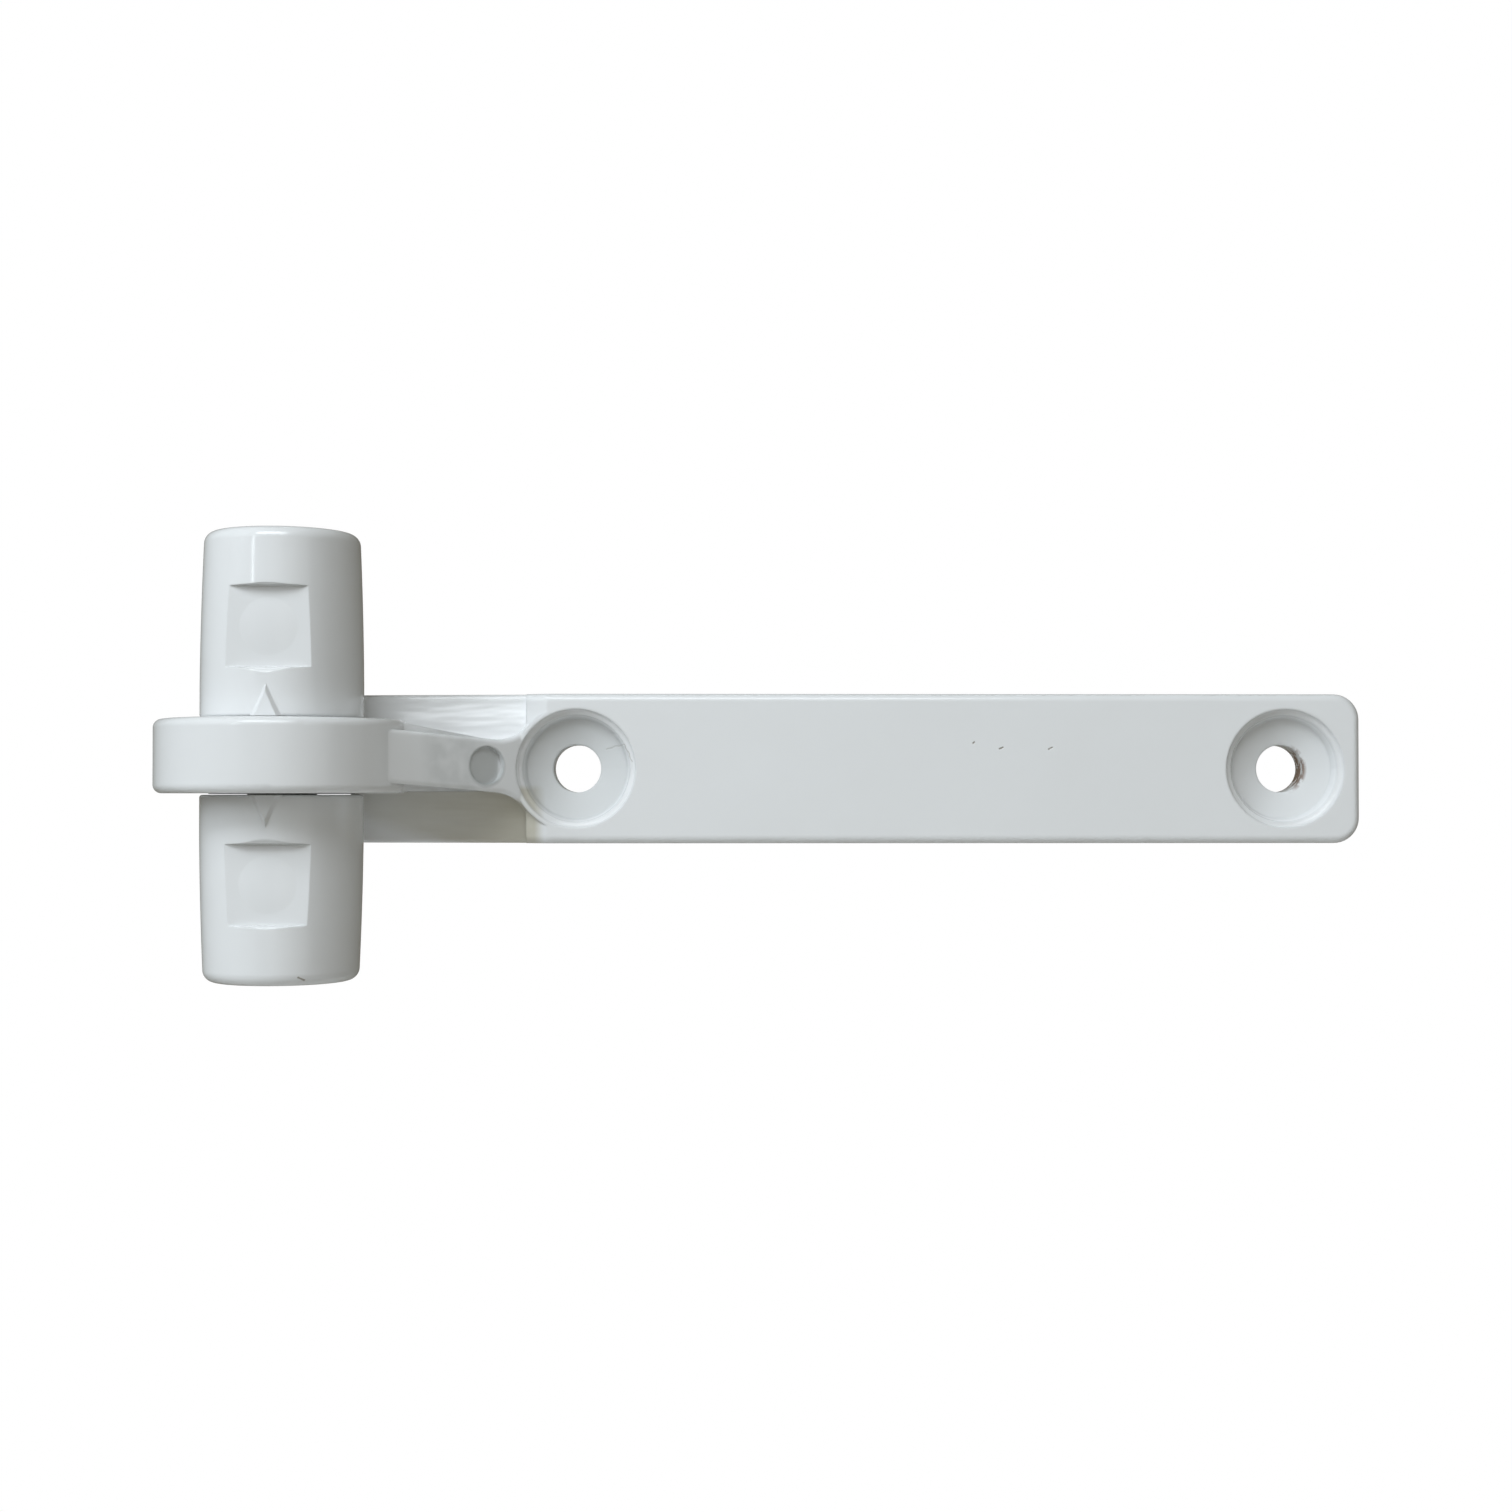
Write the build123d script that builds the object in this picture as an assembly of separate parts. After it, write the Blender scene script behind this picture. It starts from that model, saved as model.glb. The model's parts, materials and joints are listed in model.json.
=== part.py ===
"""Cranked hinge of a window sash: a cast leaf with an eye, its bushes and pin, two
frame carriers on threaded studs, and the two pull-off caps that cover them.

Frame, in millimetres: the origin is midway between the two studs on the frame's face,
+X runs towards the leaf's free end, +Y goes into the window frame and +Z is up the pin.
"""

import os

from build123d import *

# Pin and eye
PIN_Y = -18.4  # the pin's axis stands this far in front of the frame's face
PIN_R = 4.5
PIN_END = 25.6
EYE_R = 16.4
EYE_HALF = 4.8
EYE_EDGE = 1.1
RUNNING = 0.05  # radial clearance of what turns or slides
SEAT_GAP = 0.02  # radial clearance of what is pressed or screwed in

# Bushes, let into the eye from each side
BUSH_R = 7.0
BUSH_INNER = 0.1
FLANGE_R = 9.4
FLANGE_T = 1.0
FLANGE_Z = EYE_HALF + 0.1 - FLANGE_T  # the flange stands 0.1 proud of the eye

# Leaf
LEAF_W = 20.0
LEAF_T = 7.0
LEAF_Z = -1.5  # the leaf's centre line is a little below the middle of the eye
LEAF_END = 143.3
FACE_Y = PIN_Y + 4.0
BACK_Y = FACE_Y + LEAF_T
STEP_X = (31.6, 34.3)  # beside the eye the leaf's face drops behind the main face
STEP_Y = FACE_Y + 1.1
STEP_ROUND = 1.2
TAIL_X = 7.5
TAIL_Y = FACE_Y + 3.6
CORNER_R = 3.4
ROOF_HALF = 3.0  # beside the eye the face falls away above and below this middle band
ROOF_DROP = 2.0
ROOF_EDGE = 0.7
FACE_EDGE = 1.0
CAP_SWEEP_R = 11.5  # the tail clears the caps as the leaf swings

# Rib in front of the leaf, and the web behind it, between the eye and the leaf
RIB_X = (14.9, 30.9)
RIB_START_X = 7.0  # inside the eye
RIB_HEIGHT = 10.9  # the rib's front stands this far over the main face at the eye
RIB_SLOPE = RIB_HEIGHT / (RIB_X[1] - RIB_X[0])
RIB_HALF = 3.5
RIB_EDGE = 0.6
FLARE_X = (27.6, 31.6)  # the rib widens here to meet the boss
FLARE_OUT = 2.6
WEB_END_X = 26.0
WEB_BACK = 1.5
WEB_INSET = 0.2
DIMPLE_X = 26.7
DIMPLE_R = 2.5
DIMPLE_DEPTH = 0.5
DIMPLE_TILT = 1.35  # its floor leans this much more than the rib's face

# Screw holes
HOLE_X = (38.2, 133.2)
HOLE_R = 3.2
BOSS_R = 8.55
SEAT_R = 7.25
SEAT_LIP = 0.7
SEAT_DEPTH = 2.2
CONE_R = 6.7
CONE_DEPTH = 0.9

# Carriers and studs
CARRIER_R = 7.7
CARRIER_Z = (5.0, 26.3)
NECK_R = 6.2
STUD_Z = 15.5
STUD_R = 4.0
STUD_CORE_R = 3.6  # where it is screwed in, a thread is a plain cylinder of its mean size
STUD_Y = (PIN_Y + 5.4, 22.0)
STUD_SOCKET = 4.0
WASHER_T = 1.6
WASHER_R = 7.5
NUT_T = 4.0
NUT_FLATS = 13.0
NUT_Y = (-WASHER_T - NUT_T, -WASHER_T)

# Grub screws that lock the pin, and rings that grip the caps
GRUB_R = 2.5
GRUB_Z = 20.6
GRUB_BITE = 0.5
GRUB_OUT = 7.3
SOCKET_FLATS = 2.5
SOCKET_DEPTH = 1.6
RING_Z = 24.4
WIRE_R = 0.8

# Caps
CAP_Z = (5.0, 29.3)
CAP_R = 10.55
CAP_END_R = 10.0
CAP_STRAIGHT = 9.4  # the cap's side is upright up to here, then draws in
CAP_EDGE = 1.6
CAP_MOUTH = 0.4
CAVITY_R = 8.0
CAVITY_END = 27.5
SLOT_HALF = NECK_R + 0.4
GRIP_FLAT = 9.0  # the thumb grip's flat stands this far from the pin's axis
GRIP_Z = (11.3, 21.6)
GRIP_LIP = 0.7  # the grip's ends rise this far square to the flat, then round off outwards
GRIP_ROUND = 0.85
PAD_R = 3.7
PAD_H = 0.2
MARK_BASE = 5.4
MARK_Z = (5.0, 10.1)
MARK_H = 0.42
MARK_ROOT = 0.4
MARK_TAPER = 42.0


def upright(radius, z0, z1):
    """A cylinder on the pin's axis."""
    return Pos(0, PIN_Y, (z0 + z1) / 2) * Cylinder(radius, z1 - z0)


def level(radius, x, z, y0, y1):
    """A cylinder that runs along Y."""
    return Pos(x, (y0 + y1) / 2, z) * Rot(90, 0, 0) * Cylinder(radius, y1 - y0)


def side_shape(z0, z1, *points):
    """An outline in X and Y, extruded from z0 to z1."""
    return Pos(0, 0, z0) * extrude(make_face(Polyline(*points, close=True)), z1 - z0)


def front_shape(y0, y1, *points):
    """An outline in X and Z, extruded from y0 back to y1."""
    outline = [(x, y0, z) for x, z in points]
    return extrude(make_face(Polyline(*outline, close=True)), y1 - y0, dir=(0, 1, 0))


def flipped(shape):
    """The same piece on the other side of the eye."""
    return mirror(shape, about=Plane.XY)


def roof_cut(side):
    """What slopes off the upper (1) or lower (-1) part of the bar's face beside the eye."""
    start = Vector(TAIL_X - 1, TAIL_Y, LEAF_Z)
    end = Vector(STEP_X[0], STEP_Y, LEAF_Z)
    low, high = side * ROOF_HALF, side * LEAF_W / 2
    out = high + side
    points = [(0, low), (ROOF_DROP, high), (ROOF_DROP, out), (-2, out), (-2, low)]
    profile = Plane(origin=start, x_dir=(0, 1, 0), z_dir=(1, 0, 0)) * make_face(Polyline(*points, close=True))
    return extrude(profile, end.X - start.X, dir=(end - start).normalized())


def is_roof_edge(edge):
    """Whether an edge is where a sloped part of the face meets the bar's top or bottom."""
    middle = edge.center()
    outer = abs(abs(middle.Z - LEAF_Z) - LEAF_W / 2) < 0.01
    return outer and middle.X < STEP_X[0] - 1 and STEP_Y < middle.Y < BACK_Y - 0.1 and edge.length > 10


def leaf_bar():
    """The flat bar: stepped back beside the eye, thinner at its tail."""
    outline = [
        (TAIL_X, TAIL_Y),
        (STEP_X[0], STEP_Y),
        (STEP_X[1], FACE_Y),
        (LEAF_END, FACE_Y),
        (LEAF_END, BACK_Y),
        (TAIL_X, BACK_Y),
    ]
    bar = side_shape(LEAF_Z - LEAF_W / 2, LEAF_Z + LEAF_W / 2, *outline)
    steps = [e for e in bar.edges().filter_by(Axis.Z) if STEP_X[0] - 1 < e.center().X < STEP_X[1] + 1]
    bar = fillet(steps, STEP_ROUND)
    bar = fillet(bar.edges().filter_by(Axis.Y).group_by(Axis.X)[-1], CORNER_R)
    front = bar.faces().filter_by(Axis.Y).sort_by(Axis.Y)[0]
    rim = [e for e in front.edges() if e.center().X > STEP_X[1] + 2]
    bar = fillet(rim, FACE_EDGE) - roof_cut(1) - roof_cut(-1)
    edges = [e for e in bar.edges() if is_roof_edge(e)]
    bar = fillet(edges, ROOF_EDGE)
    return bar - upright(CAP_SWEEP_R, -30, -EYE_HALF) - upright(CAP_SWEEP_R, EYE_HALF, 30)


def rib_y(x):
    """Where the rib's face is at x, front to back."""
    return FACE_Y + (x - RIB_X[1]) * RIB_SLOPE


def rib_z(x):
    """Where the rib's centre line is at x, up and down."""
    return LEAF_Z * (x - RIB_X[0]) / (RIB_X[1] - RIB_X[0])


def rib():
    """The sloping rib whose narrow face runs from the eye down to the first screw boss."""
    x0, x1 = RIB_START_X, RIB_X[1] + 2
    y0, y1, z0, z1 = rib_y(x0), rib_y(x1), rib_z(x0), rib_z(x1)
    plan = [(x0, y0), (x1, y1), (x1, FACE_Y + 3), (x0, FACE_Y + 3)]
    narrow, wide = FLARE_X
    outline = Curve() + Line((x0, 0, z0 - RIB_HALF), (x0, 0, z0 + RIB_HALF))
    for side in (1, -1):
        edge = (narrow, 0, rib_z(narrow) + side * RIB_HALF)
        flare = (wide, 0, LEAF_Z + side * (RIB_HALF + FLARE_OUT))
        mid = ((narrow + wide) / 2 + 0.5, 0, (edge[2] + flare[2]) / 2 - side * 0.45)
        outline += Line((x0, 0, z0 + side * RIB_HALF), edge)
        outline += ThreePointArc(edge, mid, flare)
        outline += Line(flare, (x1, 0, flare[2]))
    outline += Line((x1, 0, LEAF_Z + RIB_HALF + FLARE_OUT), (x1, 0, LEAF_Z - RIB_HALF - FLARE_OUT))
    front = extrude(make_face(outline), 60, dir=(0, -1, 0))
    body = side_shape(-20, 20, *plan) & front
    face = body.faces().filter_by(lambda f: f.normal_at().Y < -0.5).sort_by(Axis.Y)[0]
    long_edges = [e for e in face.edges() if e.length > RIB_HALF * 3 and e.center().X < narrow]
    return fillet(long_edges, RIB_EDGE)


def web():
    """The wider web behind the rib, nearly as deep as the eye where it leaves it."""
    x0, x1 = RIB_X[0], WEB_END_X
    y0 = FACE_Y - RIB_HEIGHT + WEB_BACK
    plan = [(0, y0), (x0 - 3, y0), (x1, FACE_Y + 0.8), (x1, BACK_Y - 2), (0, BACK_Y - 2)]
    wide = EYE_HALF - WEB_INSET
    upper = [(0, wide), (x0, wide), (x1, rib_z(x1) + RIB_HALF)]
    lower = [(x1, rib_z(x1) - RIB_HALF), (x0, -wide), (0, -wide)]
    return side_shape(-20, 20, *plan) & front_shape(-60, 0, *upper, *lower)


def dimple():
    """A shallow round mark sunk in the rib's face, deeper at the side nearer the eye."""
    inward = Vector(-RIB_SLOPE * DIMPLE_TILT, 1, 0).normalized()
    at = Plane((DIMPLE_X, rib_y(DIMPLE_X), rib_z(DIMPLE_X)), z_dir=inward)
    return at * Pos(0, 0, DIMPLE_DEPTH - 2) * Cylinder(DIMPLE_R, 4)


def screw_hole(x):
    """A counterbored seat with a rounded lip and a dished floor, and the hole through it."""
    floor = FACE_Y + SEAT_DEPTH
    start, end = (x + SEAT_R + SEAT_LIP, FACE_Y), (x + SEAT_R, FACE_Y + SEAT_LIP)
    lip = RadiusArc(start, end, -SEAT_LIP)
    rest = Polyline(
        end,
        (x + CONE_R, floor),
        (x + HOLE_R, floor + CONE_DEPTH),
        (x + HOLE_R, BACK_Y + 1),
        (x, BACK_Y + 1),
        (x, FACE_Y - 1),
        (x + SEAT_R + SEAT_LIP, FACE_Y - 1),
        start,
    )
    hole = revolve(make_face(lip + rest), Axis((x, 0, 0), (0, 1, 0)))
    return Pos(0, 0, LEAF_Z) * hole


def sash_leaf():
    """The whole casting: eye, rib, web and bar in one piece."""
    eye = upright(EYE_R, -EYE_HALF, EYE_HALF)
    eye = fillet(eye.edges().filter_by(GeomType.CIRCLE), EYE_EDGE)
    boss = level(BOSS_R, HOLE_X[0], LEAF_Z, FACE_Y, BACK_Y)
    leaf = eye + leaf_bar() + boss + rib() + web() - dimple()
    leaf -= upright(BUSH_R + SEAT_GAP, -20, 20)
    for z0, z1 in ((FLANGE_Z, EYE_HALF + 1), (-EYE_HALF - 1, -FLANGE_Z)):
        leaf -= upright(FLANGE_R + SEAT_GAP * 5, z0, z1)
    for x in HOLE_X:
        leaf -= screw_hole(x)
    return leaf


def bush():
    """The upper flanged bush, with its flange let into the eye."""
    body = upright(BUSH_R, BUSH_INNER, FLANGE_Z + FLANGE_T) + upright(FLANGE_R, FLANGE_Z, FLANGE_Z + FLANGE_T)
    body -= upright(PIN_R + RUNNING, -1, EYE_HALF + 2)
    bore_mouth = body.edges().filter_by(GeomType.CIRCLE).group_by(Axis.Z)[-1].sort_by(SortBy.RADIUS)[0]
    return chamfer(bore_mouth, 0.3)


def hinge_pin():
    """The pin, flattened slightly where the two grub screws bite."""
    pin = upright(PIN_R, -PIN_END, PIN_END)
    pin = chamfer(pin.edges().filter_by(GeomType.CIRCLE), 0.6)
    flat = Box(PIN_R * 2, 2, GRUB_R * 2 + 1)
    for z in (-GRUB_Z, GRUB_Z):
        pin -= Pos(0, PIN_Y - PIN_R + GRUB_BITE - 1, z) * flat
    return pin


def carrier():
    """The upper carrier: a sleeve on the pin with a neck that takes the stud."""
    z0, z1 = CARRIER_Z
    sleeve = upright(CARRIER_R, z0, z1)
    sleeve = chamfer(sleeve.edges().group_by(Axis.Z)[-1], 0.7)
    body = sleeve + level(NECK_R, 0, STUD_Z, PIN_Y, NUT_Y[0])
    body -= upright(PIN_R + SEAT_GAP, z0 - 1, z1 + 1)
    body -= level(STUD_CORE_R + SEAT_GAP, 0, STUD_Z, STUD_Y[0], 0)
    body -= level(GRUB_R + SEAT_GAP, 0, GRUB_Z, PIN_Y - CARRIER_R - 1, PIN_Y)
    groove = upright(CARRIER_R + 1, RING_Z - WIRE_R - 0.1, RING_Z + WIRE_R + 0.1)
    return body - (groove - upright(CAVITY_R - RUNNING - 2 * WIRE_R - SEAT_GAP, z0, z1))


def stud():
    """The upper stud, with a hexagon socket in its far end for driving it in."""
    body = level(STUD_R, 0, STUD_Z, 0, STUD_Y[1])
    body = chamfer(body.edges().filter_by(GeomType.CIRCLE).group_by(Axis.Y)[-1], 0.7)
    body += level(STUD_CORE_R, 0, STUD_Z, STUD_Y[0], 0)
    return body - socket(0, STUD_Z, STUD_Y[1] - 3, STUD_Y[1], STUD_SOCKET)


def socket(x, z, y0, y1, flats):
    """A hexagon socket along Y."""
    hexagon = Plane((x, y0, z), x_dir=(1, 0, 0), z_dir=(0, 1, 0)) * RegularPolygon(flats / 2, 6, major_radius=False)
    return extrude(hexagon, y1 - y0)


def lock_nut():
    """The upper lock nut, with its corners turned off on both sides."""
    y0, y1 = NUT_Y
    body = socket(0, STUD_Z, y0, y1, NUT_FLATS)
    corner = NUT_FLATS / 3**0.5
    turned = level(corner, 0, STUD_Z, y0, y1)
    turned = chamfer(turned.edges().filter_by(GeomType.CIRCLE), 0.5, 0.85)
    return (body & turned) - level(STUD_CORE_R + SEAT_GAP, 0, STUD_Z, y0 - 1, y1 + 1)


def washer():
    """The upper washer, flat on the frame's face."""
    body = level(WASHER_R, 0, STUD_Z, -WASHER_T, 0)
    body = chamfer(body.edges().filter_by(GeomType.CIRCLE).group_by(Axis.Y)[0], 0.3)
    return body - level(STUD_R + 0.2, 0, STUD_Z, -WASHER_T - 1, 1)


def grub_screw():
    """The upper grub screw, turned in against the pin from the front."""
    front, tip = PIN_Y - GRUB_OUT, PIN_Y - PIN_R + GRUB_BITE
    body = level(GRUB_R, 0, GRUB_Z, front, tip)
    body = chamfer(body.edges().filter_by(GeomType.CIRCLE), 0.4)
    return body - socket(0, GRUB_Z, front, front + SOCKET_DEPTH, SOCKET_FLATS)


def cap_ring():
    """The upper rubber ring in the carrier's groove that grips the cap."""
    return Pos(0, PIN_Y, RING_Z) * Torus(CAVITY_R - RUNNING - WIRE_R, WIRE_R)


def cap():
    """The upper cap: a tapered cover with a thumb grip and a raised arrow."""
    z0, z1 = CAP_Z
    side = Polyline((0, PIN_Y, z1), (0, PIN_Y, z0), (CAP_R, PIN_Y, z0), (CAP_R, PIN_Y, CAP_STRAIGHT))
    draw = ThreePointArc((CAP_R, PIN_Y, CAP_STRAIGHT), cap_side(0.5), cap_side(1))
    top = Line(cap_side(1), (0, PIN_Y, z1))
    body = revolve(make_face(side + draw + top), Axis((0, PIN_Y, 0), (0, 0, 1)))
    body = fillet(body.edges().group_by(Axis.Z)[-1], CAP_EDGE)
    body = fillet(body.edges().group_by(Axis.Z)[0], CAP_MOUTH)
    body = body - grip_cut() + grip_pad() + arrow()
    body -= upright(CAVITY_R, z0 - 1, CAVITY_END)
    body -= level(SLOT_HALF, 0, STUD_Z, PIN_Y, 0)
    return body - Pos(0, PIN_Y + 10, (z0 - 1 + STUD_Z) / 2) * Box(SLOT_HALF * 2, 20, STUD_Z - z0 + 1)


def cap_side(t):
    """A point on the cap's side, t of the way from where it starts to draw in."""
    z = CAP_STRAIGHT + (CAP_Z[1] - CAP_STRAIGHT) * t
    return (CAP_R - (CAP_R - CAP_END_R) * t**1.6, PIN_Y, z)


def grip_cut():
    """What is cut from the cap's front for a thumb: a flat between two rounded lips."""
    flat, lip, out = GRIP_FLAT, GRIP_FLAT + GRIP_LIP, CAP_R + 1
    outline = Curve()
    for z, way in ((GRIP_Z[0], -1), (GRIP_Z[1], 1)):
        at = [(-20, PIN_Y - flat, z), (-20, PIN_Y - lip, z + way * 0.1)]
        end = (-20, PIN_Y - lip - GRIP_ROUND, z + way * (0.1 + GRIP_ROUND))
        bend = (-20, PIN_Y - lip - GRIP_ROUND * 0.71, z + way * (0.1 + GRIP_ROUND * 0.29))
        rim = (-20, PIN_Y - out, end[2])
        outline += [Line(*at), ThreePointArc(at[1], bend, end), Line(end, rim)]
    ends = [(-20, PIN_Y - flat, z) for z in GRIP_Z]
    rims = [(-20, PIN_Y - out, GRIP_Z[i] + way * (0.1 + GRIP_ROUND)) for i, way in ((0, -1), (1, 1))]
    outline += [Line(*ends), Line(*rims)]
    return extrude(make_face(outline), 40, dir=(1, 0, 0))


def grip_pad():
    """The low domed pad in the middle of the grip."""
    z = (GRIP_Z[0] + GRIP_Z[1]) / 2
    front = PIN_Y - GRIP_FLAT - PAD_H
    dome_r = (PAD_R**2 + PAD_H**2) / (2 * PAD_H)
    return Pos(0, front + dome_r, z) * Sphere(dome_r) & level(PAD_R + 1, 0, z, front - 1, front + PAD_H + 0.1)


def arrow():
    """The raised triangle with sloping sides that points the way the cap pulls off."""
    start = PIN_Y - CAP_R + MARK_ROOT
    base = Polyline(
        (-MARK_BASE / 2, start, MARK_Z[0] - 1.2),
        (MARK_BASE / 2, start, MARK_Z[0] - 1.2),
        (0, start, MARK_Z[1]),
        close=True,
    )
    body = extrude(make_face(base), MARK_ROOT + MARK_H, dir=(0, -1, 0), taper=MARK_TAPER)
    return body & Pos(0, PIN_Y, MARK_Z[0] + 10) * Box(40, 40, 20)


def save(name, *solids):
    """Write one part file, as a group when there is more than one solid."""
    shape = solids[0] if len(solids) == 1 else Compound(children=list(solids))
    shape.label = name
    export_step(shape, f"parts/{name}.step")


def main():
    os.makedirs("parts", exist_ok=True)
    save("sash_leaf", sash_leaf())
    save("hinge_pin", hinge_pin())
    for name, make in (("bush", bush), ("carrier", carrier), ("cap", cap), ("cap_ring", cap_ring)):
        upper = make()
        save(f"upper_{name}", upper)
        save(f"lower_{name}", flipped(upper))
    pairs = {"frame_studs": stud, "lock_nuts": lock_nut, "washers": washer, "grub_screws": grub_screw}
    for name, make in pairs.items():
        upper = make()
        save(name, upper, flipped(upper))


if __name__ == "__main__":
    main()
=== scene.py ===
"""Looks for the cranked sash hinge: materials, threads, studio and camera, in metres."""

import json
from math import cos, pi, radians, sin, tau

import bmesh
import bpy
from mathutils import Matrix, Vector

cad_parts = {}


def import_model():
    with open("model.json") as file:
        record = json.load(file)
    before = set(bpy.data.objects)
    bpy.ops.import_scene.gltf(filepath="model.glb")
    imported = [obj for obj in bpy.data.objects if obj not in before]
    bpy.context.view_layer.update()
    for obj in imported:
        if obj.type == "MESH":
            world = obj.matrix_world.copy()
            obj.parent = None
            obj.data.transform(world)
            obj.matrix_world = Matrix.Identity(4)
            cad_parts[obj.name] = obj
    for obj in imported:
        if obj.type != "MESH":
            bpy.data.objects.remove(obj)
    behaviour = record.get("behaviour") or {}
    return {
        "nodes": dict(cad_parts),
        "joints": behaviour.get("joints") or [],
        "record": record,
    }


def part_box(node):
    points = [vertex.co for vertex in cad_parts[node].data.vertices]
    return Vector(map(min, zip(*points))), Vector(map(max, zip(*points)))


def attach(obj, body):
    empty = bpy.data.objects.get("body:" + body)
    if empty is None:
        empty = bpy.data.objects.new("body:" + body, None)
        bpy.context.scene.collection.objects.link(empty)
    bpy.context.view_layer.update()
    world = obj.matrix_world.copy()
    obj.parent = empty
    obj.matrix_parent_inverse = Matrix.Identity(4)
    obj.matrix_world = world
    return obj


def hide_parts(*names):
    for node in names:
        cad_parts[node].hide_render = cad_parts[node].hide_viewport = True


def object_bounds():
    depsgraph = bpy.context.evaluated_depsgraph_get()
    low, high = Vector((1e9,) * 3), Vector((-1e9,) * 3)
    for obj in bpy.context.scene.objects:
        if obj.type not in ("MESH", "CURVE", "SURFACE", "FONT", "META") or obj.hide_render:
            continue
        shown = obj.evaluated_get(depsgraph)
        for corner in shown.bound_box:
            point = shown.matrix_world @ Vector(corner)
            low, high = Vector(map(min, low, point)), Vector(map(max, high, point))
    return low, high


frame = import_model()
cad_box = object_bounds()
nodes = frame["nodes"]
mounts = {mount["name"]: mount for mount in frame["record"]["mounts"]}
swing = next(joint for joint in frame["joints"] if joint["name"] == "leaf_swing")

MM = 0.001
PIN = Vector(swing["pos_m"])
HOLE_MIDDLE = Vector(mounts["leaf_screws"]["pos_m"])
HOLE_PITCH = mounts["leaf_screws"]["dims"]["spacing_x_mm"] * MM
HOLE_R = mounts["leaf_screws"]["dims"]["hole_r_mm"] * MM
HOLES = [HOLE_MIDDLE + Vector((side * HOLE_PITCH / 2, 0, 0)) for side in (-1, 1)]

# Threads: the studs are M8, the grub screws M5.
STUD_CORE = 3.6 * MM  # the radius of the studs where nuts and carriers hold them
STUD_PITCH, STUD_FLATS, STUD_SOCKET = 1.25 * MM, 4 * MM, 3 * MM
GRUB_PITCH, GRUB_FLATS, GRUB_SOCKET = 0.8 * MM, 2.5 * MM, 1.6 * MM
THREAD_DEPTH = 0.6134  # of the pitch
THREAD_CREST = 1 / 8  # of the pitch
SEGMENTS = 48  # round a rod
RINGS_PER_PITCH = 10
SHARP_ANGLE = radians(35)

# Where the leaf's marks lie, in mm. A fade is where a mark is full, and where it has gone.
DIMPLE = Vector((26.7, -17.3, -1.3)) * MM
DIMPLE_FADE = (2.5, 2.9)
RIB_FRONT_FADE = (-15.6, -15.2)
# where the painted dark reflection lies on the front of the rib
DARK_REFLECTION_X = (20.5, 25.0)
# Where the painted shadow of the rib and eye lies on the face under the web.
RIB_SHADOW_X_FADE = (32.6, 34.0)
RIB_SHADOW_Z_FADE = (-4.4, -3.6)
RIB_SHADOW_Y = (-14.0, -10.4)
RIB_SHADOW_DEEPENS = (12, 30)
PITS = [Vector(at) * MM for at in ((91.3, 0, 1.9), (94.8, 0, 1.1), (101.4, 0, 1.1))]
PIT_SIZE = Vector((0.1, 0, 0.1)) * MM
SCRATCH_SIZE = Vector((0.5, 0, 0.2)) * MM
STRAP_FRONT_FADE = (-13.4, -13.0)
CRACK = [Vector(at) * MM for at in ((42.2, 0, 1.1), (44.6, 0, 1.8), (45.7, 0, -0.6))]
CRACK_Y = (-14.0, -10.6)
FLOW_X_FADE = (31, 35)
FLOW_Y = (-13.9, -9.2)
SEAT_FADE = (6.8, 7.2)
SEAT_Y_FADE = (-10.6, -9.8)
SEAT_SHADE = (0.5, 0.2)  # the share of painted shade in the near seat and in the far one
RUST_EDGE = (0.1, 0.5)  # past the hole's wall
RUST_SIDE = (1.2, 2.6)  # to the right of the hole's middle
CHIP = [Vector(at) * MM for at in ((4.0, 0, -28.1), (4.6, 0, -28.5))]

WHITE = (0.785, 0.80, 0.81, 1)
WHITE_SHADE = (0.75, 0.76, 0.765, 1)
# the grey of painted shade in the rib's dimple and the screw seats, and of a painted dark reflection on the
# rib
PAINTED_SHADE = (0.50, 0.52, 0.52, 1)
# the olive grey of the painted shadow under the web
RIB_SHADOW_TONE = (0.53, 0.51, 0.43, 1)
GRIME = (0.20, 0.17, 0.12, 1)
RUST = (0.16, 0.07, 0.03, 1)
BRIGHT, BRIGHT_SHADE = (0.66, 0.66, 0.66, 1), (0.56, 0.56, 0.57, 1)
PLATED, PLATED_SHADE = (0.66, 0.66, 0.63, 1), (0.52, 0.52, 0.50, 1)
BLACKED, BLACKED_SHADE = (0.07, 0.07, 0.07, 1), (0.03, 0.03, 0.03, 1)
ZINC, ZINC_SHADE = (0.50, 0.51, 0.52, 1), (0.34, 0.35, 0.36, 1)
POLYMER, POLYMER_SHADE = (0.09, 0.09, 0.095, 1), (0.05, 0.05, 0.055, 1)
RUBBER, RUBBER_SHADE = (0.03, 0.03, 0.03, 1), (0.012, 0.012, 0.012, 1)

BACKDROP = (1, 1, 1, 1)
FILL = (0.90, 0.85, 0.69, 1)
FILL_STRENGTH = 0.17
FLOOR, FLOOR_SHADE = (0.93, 0.93, 0.93, 1), (0.90, 0.90, 0.90, 1)
FLOOR_DROP, FLOOR_R, FLOOR_SEGMENTS = 0.30, 0.46, 96
FLOOR_FADE = (0.5, 0.97)  # of the radius

CAMERA_FROM_PIN = Vector((57.6, -283.4, -4.55)) * MM
CAMERA_TILT, CAMERA_TURN = radians(90 + 0.94), radians(-0.92)
CAMERA_LENS, CAMERA_SENSOR = 51.26, 36.0


# ---------------------------------------------------------------- materials


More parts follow.
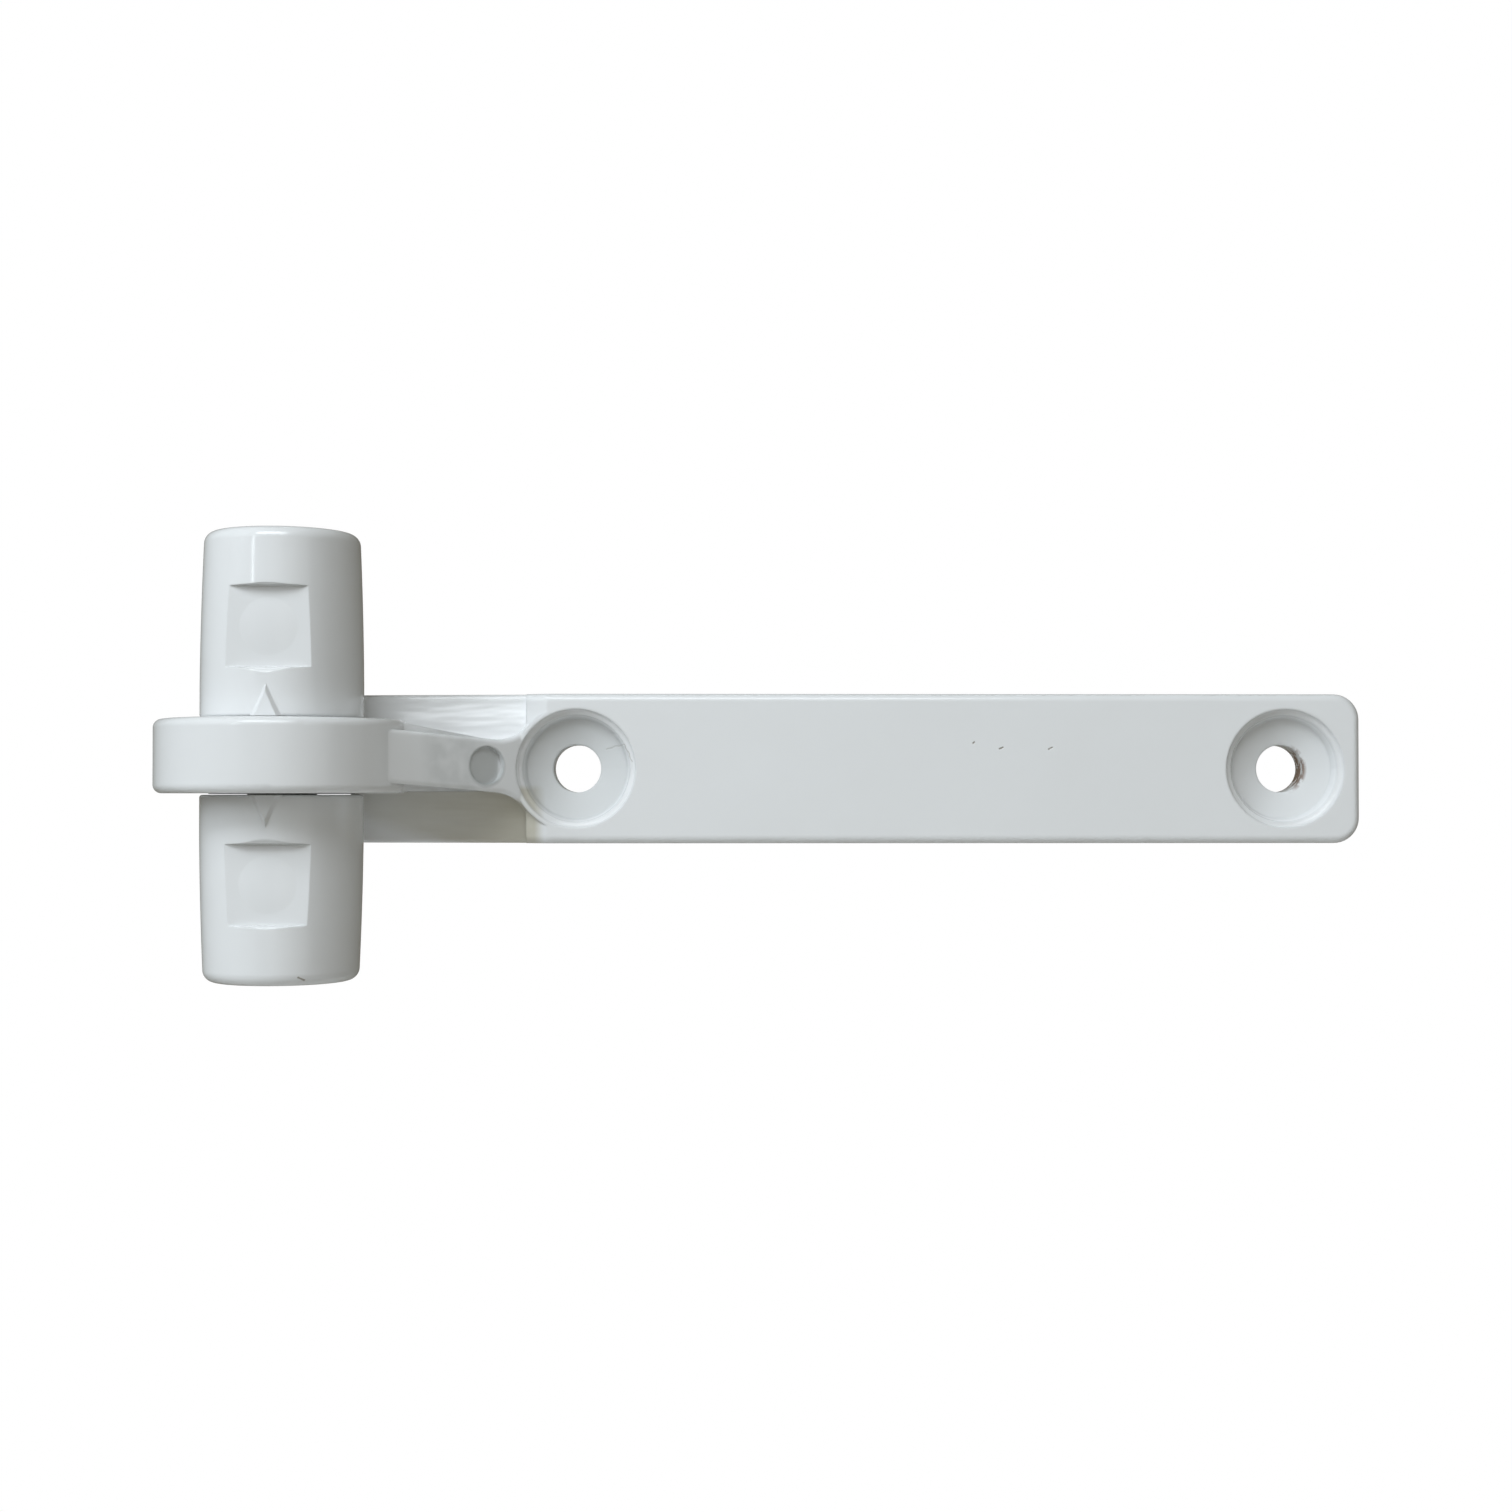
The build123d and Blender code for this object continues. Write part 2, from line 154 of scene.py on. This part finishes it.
class Graph:
    """A short way to write one material's node graph."""

    def __init__(self, name):
        self.material = bpy.data.materials.new(name)
        self.material.use_nodes = True
        self.tree = self.material.node_tree
        self.shader = self.tree.nodes["Principled BSDF"]
        self.place = self.node("ShaderNodeTexCoord").outputs["Object"]

    def node(self, kind, inputs=None, **settings):
        made = self.tree.nodes.new(kind)
        for key, value in settings.items():
            setattr(made, key, value)
        for key, value in (inputs or {}).items():
            self.feed(made.inputs[key], value)
        return made

    def feed(self, socket, value):
        if isinstance(value, bpy.types.NodeSocket):
            self.tree.links.new(value, socket)
        else:
            socket.default_value = value

    def math(self, operation, a, b, clamp=False):
        return self.node("ShaderNodeMath", {0: a, 1: b}, operation=operation, use_clamp=clamp).outputs[0]

    def times(self, product, *others):
        """The product of several values."""
        for other in others:
            product = self.math("MULTIPLY", product, other)
        return product

    def vector(self, operation, a, b):
        return self.node("ShaderNodeVectorMath", {0: a, 1: b}, operation=operation).outputs[0]

    def length(self, vector):
        return self.node("ShaderNodeVectorMath", {0: vector}, operation="LENGTH").outputs["Value"]

    def noise(self, size_mm, detail=2.0, roughness=0.5, stretch=None):
        """A noise from 0 to 1 whose lumps are about size_mm across."""
        place = self.vector("MULTIPLY", self.place, stretch) if stretch else self.place
        inputs = {"Vector": place, "Scale": 1 / (size_mm * MM), "Detail": detail, "Roughness": roughness}
        return self.node("ShaderNodeTexNoise", inputs).outputs["Fac"]

    def ramp(self, value, low, high, out_low=0.0, out_high=1.0):
        inputs = {0: value, 1: low, 2: high, 3: out_low, 4: out_high}
        return self.node("ShaderNodeMapRange", inputs, clamp=True).outputs[0]

    def fade(self, value, full_mm, gone_mm):
        """1 up to one length, then down to 0 at a greater one."""
        return self.ramp(value, full_mm * MM, gone_mm * MM, 1, 0)

    def between(self, value, low_mm, high_mm, soft_mm):
        """1 where value lies between two lengths, with soft ends."""
        rise = self.ramp(value, (low_mm - soft_mm) * MM, low_mm * MM)
        return self.times(rise, self.fade(value, high_mm, high_mm + soft_mm))

    def spread(self, noise, low, high):
        """A noise, most of whose values run from low to high."""
        return self.ramp(noise, 0.3, 0.7, low, high)

    def mix(self, amount, a, b):
        made = self.node("ShaderNodeMix", data_type="RGBA")
        self.feed(made.inputs[0], amount)
        self.feed(made.inputs[6], a)
        self.feed(made.inputs[7], b)
        return made.outputs[2]

    def soft_edges(self, radius_mm):
        """A normal that rounds off the edges by radius_mm."""
        return self.node("ShaderNodeBevel", {"Radius": radius_mm * MM}, samples=4).outputs[0]

    def bump(self, height, depth_mm, normal=None):
        """A bump whose height runs over depth_mm."""
        inputs = {"Strength": 1.0, "Distance": depth_mm * MM, "Height": height}
        made = self.node("ShaderNodeBump", inputs)
        if normal is not None:
            self.feed(made.inputs["Normal"], normal)
        return made.outputs[0]

    def finish(self, colour, roughness, normal=None, **constants):
        self.feed(self.shader.inputs["Base Color"], colour)
        self.feed(self.shader.inputs["Roughness"], roughness)
        if normal is not None:
            self.feed(self.shader.inputs["Normal"], normal)
        for key, value in constants.items():
            self.shader.inputs[key.replace("_", " ")].default_value = value
        return self.material


def speckled(g, tone, spacing_mm, radius_mm, share):
    """Small round specks of grime, one in a share of the cells that are spacing_mm apart."""
    inputs = {"Vector": g.place, "Scale": 1 / (spacing_mm * MM), "Randomness": 1.0}
    cell = g.node("ShaderNodeTexVoronoi", inputs)
    near = g.ramp(cell.outputs["Distance"], 0, radius_mm / spacing_mm, 1, 0)
    pick = g.node("ShaderNodeSeparateColor", {0: cell.outputs["Color"]}).outputs[0]
    speck = g.times(near, g.math("GREATER_THAN", pick, 1 - share))
    return g.mix(g.times(speck, 0.6), tone, GRIME)


def from_hole(g, hole):
    """How far a point is from a hole's axis, in metres."""
    return g.length(g.vector("MULTIPLY", g.vector("SUBTRACT", g.place, tuple(hole)), (1, 0, 1)))


def stroke(g, start, end, width_mm, wander_mm=0.0):
    """1 along a thin line between two places, seen from the front, fading out over its width."""
    flat = g.vector("MULTIPLY", g.place, (1, 0, 1))
    if wander_mm:
        sway = g.node("ShaderNodeTexNoise", {"Vector": g.place, "Scale": 1 / (0.9 * MM)}).outputs["Color"]
        sway = g.vector("SUBTRACT", sway, (0.5, 0.5, 0.5))
        flat = g.vector("ADD", flat, g.vector("MULTIPLY", sway, (wander_mm * MM, 0, wander_mm * MM)))
    away = g.vector("SUBTRACT", flat, tuple(start))
    run = end - start
    dot = g.node("ShaderNodeVectorMath", {0: away, 1: tuple(run)}, operation="DOT_PRODUCT").outputs["Value"]
    along = g.math("MULTIPLY", dot, 1 / run.length_squared, clamp=True)
    nearest = g.node("ShaderNodeVectorMath", {0: tuple(run), "Scale": along}, operation="SCALE").outputs[0]
    return g.fade(g.length(g.vector("SUBTRACT", away, nearest)), width_mm * 0.35, width_mm)


def rib_painted_shade(g, x, y, tone):
    """Painted shade in the dimple and a painted dark reflection in blotches beside it, on the front of the
    rib only.
    """
    front = g.fade(y, *RIB_FRONT_FADE)
    dimple = g.fade(g.length(g.vector("SUBTRACT", g.place, tuple(DIMPLE))), *DIMPLE_FADE)
    # painted shade: the dimple's floor darkened
    tone = g.mix(g.times(dimple, 0.8, front), tone, PAINTED_SHADE)
    dark_reflection = g.ramp(g.noise(2.4, 1.5, 0.5), 0.30, 0.60)
    # painted reflection: mottled dark blotches beside the dimple
    return g.mix(g.times(g.between(x, *DARK_REFLECTION_X, 2.0), front, dark_reflection, 0.4), tone, PAINTED_SHADE)


def painted_rib_shadow(g, x, y, z, tone):
    """Painted shadow: a darker olive tint on the face under the web, where the rib and eye cast their
    shadow, in streaks along the leaf.
    """
    shadowed = g.times(g.fade(x, *RIB_SHADOW_X_FADE), g.fade(z, *RIB_SHADOW_Z_FADE))
    shadowed = g.times(shadowed, g.between(y, *RIB_SHADOW_Y, 0.6))
    start, end = RIB_SHADOW_DEEPENS
    shadowed = g.times(shadowed, g.ramp(x, start * MM, end * MM, 0.4, 1.0))
    streaks = g.spread(g.noise(3.0, 3, 0.6, stretch=(0.15, 1, 1)), 0.8, 1.0)
    return g.mix(g.times(shadowed, streaks), tone, RIB_SHADOW_TONE)


def strap_pits(g, y):
    """One round pit and two short scratches on the front of the strap."""
    pits = stroke(g, PITS[0], PITS[0] + PIT_SIZE, 0.16)
    for pit in PITS[1:]:
        pits = g.math("MAXIMUM", pits, stroke(g, pit, pit + SCRATCH_SIZE, 0.14, 0.3))
    return g.times(pits, g.fade(y, *STRAP_FRONT_FADE))


def seat_crack(g, y):
    """A fine bent crack that runs into the near screw seat."""
    crack = stroke(g, CRACK[0], CRACK[1], 0.14, 0.8)
    crack = g.math("MAXIMUM", crack, stroke(g, CRACK[1], CRACK[2], 0.13, 0.7))
    return g.times(crack, g.between(y, *CRACK_Y, 0.3))


def hole_rust(g, x):
    """Patches of rust on the right of the far hole's wall."""
    inner, outer = RUST_EDGE
    wall = g.ramp(from_hole(g, HOLES[1]), HOLE_R + inner * MM, HOLE_R + outer * MM, 1, 0)
    none, full = RUST_SIDE
    right = g.ramp(x, HOLES[1].x + none * MM, HOLES[1].x + full * MM)
    return g.times(wall, right, g.ramp(g.noise(1.4, 4, 0.6), 0.42, 0.52))


def coat_relief(g, x, y, pits, crack):
    """Orange peel, waves, flow marks beside the eye, and the dents of the pits and the crack."""
    peel = g.bump(g.noise(1.6, 1), 0.006, g.soft_edges(0.45))
    wave = g.bump(g.noise(13, 0), 0.03, peel)
    flow = g.times(g.noise(2.6, 2, 0.5, stretch=(0.16, 1, 1)), g.fade(x, *FLOW_X_FADE))
    wave = g.bump(g.times(flow, g.between(y, *FLOW_Y, 0.5)), 0.22, wave)
    return g.bump(g.math("ADD", g.times(pits, -1.0), g.times(crack, -0.5)), 0.05, wave)


def white_coat():
    """Gloss white powder coat on a casting, with the marks of the leaf, and painted shade, shadow and
    reflection on the rib, under the web and in the screw seats.
    """
    g = Graph("white_coat")
    x, y, z = g.node("ShaderNodeSeparateXYZ", {0: g.place}).outputs
    tone = g.mix(g.noise(22, 3), WHITE_SHADE, WHITE)
    tone = speckled(g, tone, spacing_mm=11, radius_mm=0.13, share=0.05)
    # painted shade in the rib's dimple, a painted dark reflection beside it, and the painted shadow of the
    # rib and eye on the face under the web
    tone = painted_rib_shadow(g, x, y, z, rib_painted_shade(g, x, y, tone))
    pits, crack = strap_pits(g, y), seat_crack(g, y)
    tone = g.mix(g.times(pits, 0.8), tone, GRIME)
    tone = g.mix(g.times(crack, 0.35), tone, GRIME)
    tone = g.mix(g.times(hole_rust(g, x), 0.9), tone, RUST)
    rough = g.spread(g.noise(14, 3), 0.16, 0.24)
    for hole, share in zip(HOLES, SEAT_SHADE):
        seat = g.times(g.fade(from_hole(g, hole), *SEAT_FADE), g.fade(y, *SEAT_Y_FADE))
        rough = g.math("ADD", rough, g.times(seat, 0.25))
        # painted shade in the screw seat's dish
        tone = g.mix(g.times(seat, share), tone, PAINTED_SHADE)
    relief = coat_relief(g, x, y, pits, crack)
    return g.finish(tone, rough, relief, IOR=1.5, Coat_Weight=0.3, Coat_Roughness=0.06)


def white_cap():
    """Gloss white moulded plastic, finely scuffed along its length, chipped at one rim."""
    g = Graph("white_cap")
    tone = g.mix(g.noise(16, 3), WHITE_SHADE, WHITE)
    tone = speckled(g, tone, spacing_mm=8, radius_mm=0.12, share=0.06)
    tone = g.mix(g.times(stroke(g, *CHIP, 0.2, 0.5), 0.8), tone, GRIME)
    scuff = g.noise(0.6, 3, 0.6, stretch=(1, 1, 0.08))
    fine = g.bump(scuff, 0.0015, g.soft_edges(0.25))
    skin = g.bump(g.noise(2.6, 1), 0.008, fine)
    rough = g.spread(g.noise(7, 4), 0.09, 0.15)
    return g.finish(tone, rough, skin, IOR=1.5, Coat_Weight=0.2, Coat_Roughness=0.05)


def steel(name, colour, shade, stretch, low=0.22, high=0.38):
    """Turned or plated steel, with fine marks drawn out along the direction of stretch."""
    g = Graph(name)
    marks = g.noise(0.35, 4, 0.7, stretch=stretch)
    tone = g.mix(g.noise(5, 3), shade, colour)
    return g.finish(tone, g.spread(marks, low, high), g.bump(marks, 0.004), Metallic=1.0)


def zinc_cast():
    """Raw die-cast zinc: dull grey with a fine grain and darker patches."""
    g = Graph("zinc_cast")
    tone = g.mix(g.noise(4, 4, 0.6), ZINC_SHADE, ZINC)
    grain = g.bump(g.noise(0.45, 3, 0.6), 0.015)
    return g.finish(tone, g.spread(g.noise(2, 3), 0.42, 0.58), grain, Metallic=0.9)


def soft_dark(name, colour, shade, grain_mm, low, high):
    """A dark moulded polymer or rubber, with a fine grain."""
    g = Graph(name)
    tone = g.mix(g.noise(3, 3), shade, colour)
    grain = g.bump(g.noise(grain_mm, 3, 0.6), 0.01)
    return g.finish(tone, g.spread(g.noise(1.5, 2), low, high), grain)


def paint_nodes():
    """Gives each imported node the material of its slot."""
    made = {
        "white_coat": white_coat(),
        "white_cap": white_cap(),
        "bright_steel": steel("bright_steel", BRIGHT, BRIGHT_SHADE, (1, 1, 12)),
        "plated_steel": steel("plated_steel", PLATED, PLATED_SHADE, (1, 0.1, 1)),
        "black_steel": steel("black_steel", BLACKED, BLACKED_SHADE, None, 0.35, 0.5),
        "zinc_cast": zinc_cast(),
        "bush_polymer": soft_dark("bush_polymer", POLYMER, POLYMER_SHADE, 0.5, 0.4, 0.55),
        "ring_rubber": soft_dark("ring_rubber", RUBBER, RUBBER_SHADE, 0.3, 0.6, 0.75),
    }
    for part in frame["record"]["subparts"]:
        data = nodes[part["node"]].data
        data.materials.clear()
        data.materials.append(made[part["material_slot"]])
    return made


# ---------------------------------------------------------------- threads


def object_from(name, mesh):
    """A new object in the scene, from a mesh in the making."""
    data = bpy.data.meshes.new(name)
    mesh.to_mesh(data)
    mesh.free()
    made = bpy.data.objects.new(name, data)
    bpy.context.scene.collection.objects.link(made)
    return made


def add_ring(mesh, centre, radius_at):
    """A ring of points round a line along Y; radius_at gives the radius at a turn of 0 to 1."""
    ring = []
    for k in range(SEGMENTS):
        r, angle = radius_at(k / SEGMENTS), tau * k / SEGMENTS
        place = (centre[0] + r * cos(angle), centre[1], centre[2] + r * sin(angle))
        ring.append(mesh.verts.new(place))
    return ring


def bridge(mesh, rings):
    """Faces between each ring and the next."""
    for near, far in zip(rings, rings[1:]):
        for k in range(SEGMENTS):
            n = (k + 1) % SEGMENTS
            mesh.faces.new((near[k], far[k], far[n], near[n]))


def thread_radius(along, turn, major, pitch):
    """The radius of a metric thread at a place along it, turn being 0 to 1 round it."""
    phase = (along / pitch - turn) % 1.0
    slope = (abs(phase - 0.5) * 2 - THREAD_CREST) / (1 - THREAD_CREST * 3)
    return major - THREAD_DEPTH * pitch * min(max(slope, 0), 1)


def thread_rings(mesh, start, length, major, pitch, core):
    """The rings of a threaded rod, tapered at its ends; core, if given, limits it in front of y = 0."""
    count = max(int(length / pitch * RINGS_PER_PITCH), 8)
    lead_in = THREAD_DEPTH * pitch * 1.1
    rings = []
    for i in range(count + 1):
        y = length * i / count
        limit = major - max(lead_in - min(y, length - y), 0)
        if core and start.y + y <= 0:
            limit = min(limit, core)
        centre = (start.x, start.y + y, start.z)
        rings.append(add_ring(mesh, centre, lambda turn: min(thread_radius(y, turn, major, pitch), limit)))
    return rings


def hexagon_radius(turn, flats):
    """The radius of a hexagon at a turn of 0 to 1."""
    return flats / 2 / cos((tau * turn + pi / 6) % (pi / 3) - pi / 6)


def threaded_rod(name, start, end, major, pitch, flats, socket_depth, core):
    """A rod along Y with a real helical thread, and a hexagon socket in one end.

    A rod with a core has its socket at its far end, and one without has it at its near end.
    """
    mesh = bmesh.new()
    rings = thread_rings(mesh, start, (end - start).y, major, pitch, core)
    bridge(mesh, rings)
    plain, open_end = (rings[0], rings[-1]) if core else (rings[-1], rings[0])
    mesh.faces.new(plain)
    mouth_y = open_end[0].co.y
    floor_y = mouth_y - socket_depth if core else mouth_y + socket_depth
    socket = [
        add_ring(mesh, (start.x, y, start.z), lambda turn: hexagon_radius(turn, flats))
        for y in (mouth_y, floor_y)
    ]
    bridge(mesh, [open_end, *socket])
    mesh.faces.new(socket[-1])
    bmesh.ops.recalc_face_normals(mesh, faces=mesh.faces)
    made = object_from(name, mesh)
    made.data.shade_smooth()
    made.data.set_sharp_from_angle(angle=SHARP_ANGLE)
    return made


def joined(name, parts):
    """Several meshes as one piece."""
    bpy.ops.object.select_all(action="DESELECT")
    for part in parts:
        part.select_set(True)
    bpy.context.view_layer.objects.active = parts[0]
    bpy.ops.object.join()
    parts[0].name = name
    return parts[0]


def thread_pair(name, node, material, pitch, flats, socket_depth, core=None):
    """Threaded rods in place of a node's two plain ones, one above the other."""
    low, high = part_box(node)
    radius = (high.x - low.x) / 2
    parts = []
    for z in (high.z - radius, low.z + radius):
        start, end = Vector((0, low.y, z)), Vector((0, high.y, z))
        parts.append(threaded_rod(name, start, end, radius, pitch, flats, socket_depth, core))
    piece = joined(name, parts)
    piece.data.materials.clear()
    piece.data.materials.append(material)
    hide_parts(node)
    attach(piece, "frame_side")


# ---------------------------------------------------------------- studio and camera


def area_light(name, direction, distance, size, power, colour, mirrored=True):
    """A soft light, aimed at the middle of the object; gloss shows it only where mirrored."""
    middle = (cad_box[0] + cad_box[1]) / 2
    data = bpy.data.lights.new(name, "AREA")
    data.shape = "RECTANGLE"
    data.size, data.size_y = size
    data.energy = power
    data.color = colour
    light = bpy.data.objects.new(name, data)
    light.location = middle + Vector(direction).normalized() * distance
    light.rotation_euler = (middle - light.location).to_track_quat("-Z", "Y").to_euler()
    light.visible_glossy = mirrored
    bpy.context.scene.collection.objects.link(light)


def lights():
    """A cool window at the left with a bright slit in it, sky, the room in front, and the back."""
    area_light("window", (-0.69, -0.50, 0.45), distance=0.9, size=(0.35, 0.6),
               power=4.7, colour=(0.87, 0.94, 1.0), mirrored=False)
    area_light("sky", (-0.16, -0.66, 0.70), distance=0.9, size=(0.6, 0.35),
               power=3.8, colour=(0.90, 0.95, 1.0))
    area_light("room", (0.35, -1.0, 0.05), distance=1.2, size=(1.4, 1.0),
               power=1.7, colour=(0.99, 1.0, 1.0))
    area_light("slit", (-0.57, -0.80, 0.26), distance=0.9, size=(0.04, 0.30),
               power=0.3, colour=(0.88, 0.95, 1.0))
    area_light("back", (-0.25, 1.0, 0.30), distance=1.0, size=(0.8, 0.6),
               power=2.4, colour=(1.0, 0.99, 0.97), mirrored=False)


def world():
    """White behind the object, and a dim warm fill all round it."""
    made = bpy.data.worlds.new("studio")
    bpy.context.scene.world = made
    made.use_nodes = True
    tree = made.node_tree
    tree.nodes.clear()
    ray = tree.nodes.new("ShaderNodeLightPath")
    fill = tree.nodes.new("ShaderNodeBackground")
    fill.inputs[0].default_value = FILL
    fill.inputs[1].default_value = FILL_STRENGTH
    seen = tree.nodes.new("ShaderNodeBackground")
    seen.inputs[0].default_value = BACKDROP
    choose = tree.nodes.new("ShaderNodeMixShader")
    out = tree.nodes.new("ShaderNodeOutputWorld")
    tree.links.new(ray.outputs["Is Camera Ray"], choose.inputs[0])
    tree.links.new(fill.outputs[0], choose.inputs[1])
    tree.links.new(seen.outputs[0], choose.inputs[2])
    tree.links.new(choose.outputs[0], out.inputs[0])


def floor():
    """A plain pale floor well under the object, fading out into the white behind."""
    middle = (cad_box[0] + cad_box[1]) / 2
    mesh = bmesh.new()
    bmesh.ops.create_circle(mesh, cap_ends=True, radius=FLOOR_R, segments=FLOOR_SEGMENTS)
    made = object_from("floor", mesh)
    made.location = (middle.x, middle.y, middle.z - FLOOR_DROP)
    g = Graph("floor")
    start, end = FLOOR_FADE
    g.feed(g.shader.inputs["Alpha"], g.ramp(g.length(g.place), FLOOR_R * start, FLOOR_R * end, 1, 0))
    made.data.materials.append(g.finish(g.mix(g.noise(30), FLOOR_SHADE, FLOOR), 0.6))


def camera():
    """A camera square on to the leaf, a little right of the middle, close enough for perspective."""
    data = bpy.data.cameras.new("camera")
    data.sensor_width = CAMERA_SENSOR
    data.lens = CAMERA_LENS
    made = bpy.data.objects.new("camera", data)
    made.location = PIN + CAMERA_FROM_PIN
    made.rotation_euler = (CAMERA_TILT, 0, CAMERA_TURN)
    bpy.context.scene.collection.objects.link(made)
    bpy.context.scene.camera = made


slots = paint_nodes()
thread_pair("stud_threads", "frame_studs", slots["plated_steel"],
            STUD_PITCH, STUD_FLATS, STUD_SOCKET, core=STUD_CORE)
thread_pair("grub_threads", "grub_screws", slots["black_steel"],
            GRUB_PITCH, GRUB_FLATS, GRUB_SOCKET)
world()
floor()
lights()
bpy.context.scene.view_settings.view_transform = "Standard"
camera()
